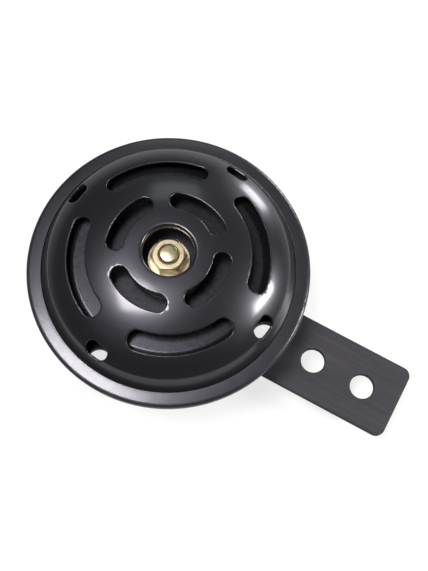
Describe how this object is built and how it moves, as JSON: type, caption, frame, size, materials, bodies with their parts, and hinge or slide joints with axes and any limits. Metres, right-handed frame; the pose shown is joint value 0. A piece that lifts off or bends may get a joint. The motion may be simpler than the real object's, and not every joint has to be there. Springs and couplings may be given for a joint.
{
  "type": "electric disc horn",
  "caption": "Electric disc horn with a domed slotted cover over a tone disc, a rolled rim, a coil pot with blade terminals behind, and a flat mounting strip with a row of holes.",
  "frame": {"origin": "midway between the mounting strip's two free holes, on the strip's rear face", "axes": "+Z points forwards out of the horn's mouth, +X runs along the mounting strip away from the horn, and +Y completes the right-handed set. The horn's own axis is parallel to +Z at X = -64.75 mm"},
  "size_m": [0.133, 0.092, 0.051],
  "materials": {
    "cover_paint": "semi-gloss black paint over a lightly textured pressing",
    "rim_paint": "satin black powder coat",
    "strip_paint": "matte charcoal powder coat",
    "tone_disc_paint": "dark satin paint",
    "yellow_zinc": "yellow chromate on zinc-plated steel",
    "clear_zinc": "clear zinc-plated steel, satin",
    "diaphragm_steel": "cold-rolled spring steel, satin",
    "gasket_fibre": "black oiled fibre sheet, matte",
    "bobbin_nylon": "natural nylon, matte",
    "coil_enamel": "enamelled copper wire, glossy",
    "contact_metal": "tungsten, polished",
    "leaf_steel": "spring steel, satin",
    "pad_phenolic": "brown phenolic laminate, matte",
    "terminal_brass": "rolled brass, satin",
    "rivet_brass": "headed brass, satin"
  },
  "bodies": {
    "body": {"rear_housing": "rim_paint", "front_cover": "cover_paint", "front_gasket": "gasket_fibre", "rear_gasket": "gasket_fibre", "diaphragm": "diaphragm_steel", "pole_core": "clear_zinc", "coil_bobbin": "bobbin_nylon", "coil_winding": "coil_enamel", "coil_leads": "coil_enamel", "fixed_contact": "contact_metal", "contact_plate": "leaf_steel", "breaker_rear_pad": "pad_phenolic", "breaker_middle_pad": "pad_phenolic", "breaker_front_pad": "pad_phenolic", "lug_pad": "pad_phenolic", "coil_lug": "terminal_brass", "adjusting_screw": "clear_zinc", "adjuster_lock_nut": "clear_zinc", "terminal_plate": "pad_phenolic", "breaker_terminal": "terminal_brass", "coil_terminal": "terminal_brass", "terminal_rivets": "rivet_brass", "mounting_strip": "strip_paint", "rear_washer": "clear_zinc", "spring_washer": "clear_zinc", "rear_nut": "clear_zinc"},
    "moving_stack": {"armature": "yellow_zinc", "disc_spacer": "clear_zinc", "tone_disc": "tone_disc_paint", "front_washer": "yellow_zinc", "front_nut": "yellow_zinc"},
    "breaker_leaf": {"breaker_arm": "leaf_steel", "moving_contact": "contact_metal", "breaker_pusher": "pad_phenolic"}
  },
  "joints": [
    {"name": "armature_stroke", "type": "slide", "parent": "body", "child": "moving_stack", "axis": [0, 0, 1], "range_m": [-0.0005, 0], "stiffness_N_per_m": 10000, "deforming": ["diaphragm"]},
    {"name": "breaker_flex", "type": "hinge", "parent": "body", "child": "breaker_leaf", "pos_m": [-0.08924, 0.00711, 0.01692], "axis": [-0.279, -0.9603, 0], "range_deg": [-1.9, 0]}
  ],
  "couplings": [
    {"joint": "breaker_flex", "follows": "armature_stroke", "rad_per_m": 64.516}
  ]
}
